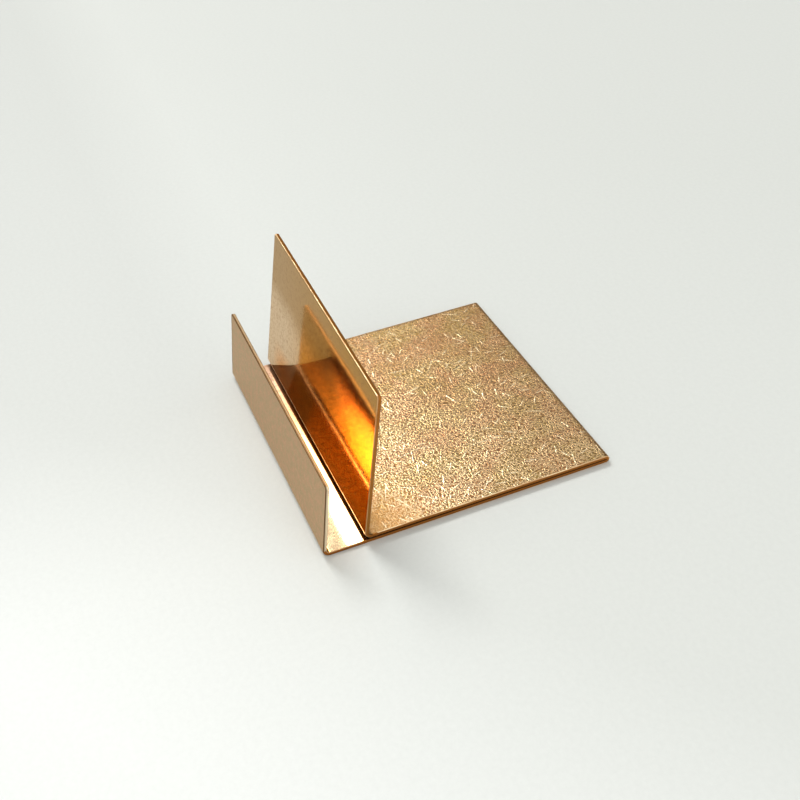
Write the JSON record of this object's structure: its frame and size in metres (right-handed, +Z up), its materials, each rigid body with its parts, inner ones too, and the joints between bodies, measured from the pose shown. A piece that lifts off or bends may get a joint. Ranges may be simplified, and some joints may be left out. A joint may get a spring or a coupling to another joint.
{
  "type": "place card holder",
  "caption": "Folded copper sheet place card holder: a low front lip and a tall leaning leaf form a card slot on a flat doubled base.",
  "frame": {"origin": "middle of the base's footprint, on the table", "axes": "+X along the card slot, -Y towards the front lip, +Y towards the hem, +Z up"},
  "size_m": [0.05, 0.05, 0.0276],
  "materials": {
    "satin_copper": "satin copper with fine random scratches, on the side that faces outwards",
    "polished_copper": "polished copper, mirror-like, on the side that faces into the slot"
  },
  "bodies": {
    "root": {"front_lip": "satin_copper", "lip_bend": "satin_copper", "base_plate": "polished_copper", "hem_fold": "satin_copper", "top_plate": "satin_copper", "leaf_bend": "polished_copper", "card_leaf": "polished_copper"}
  },
  "joints": []
}
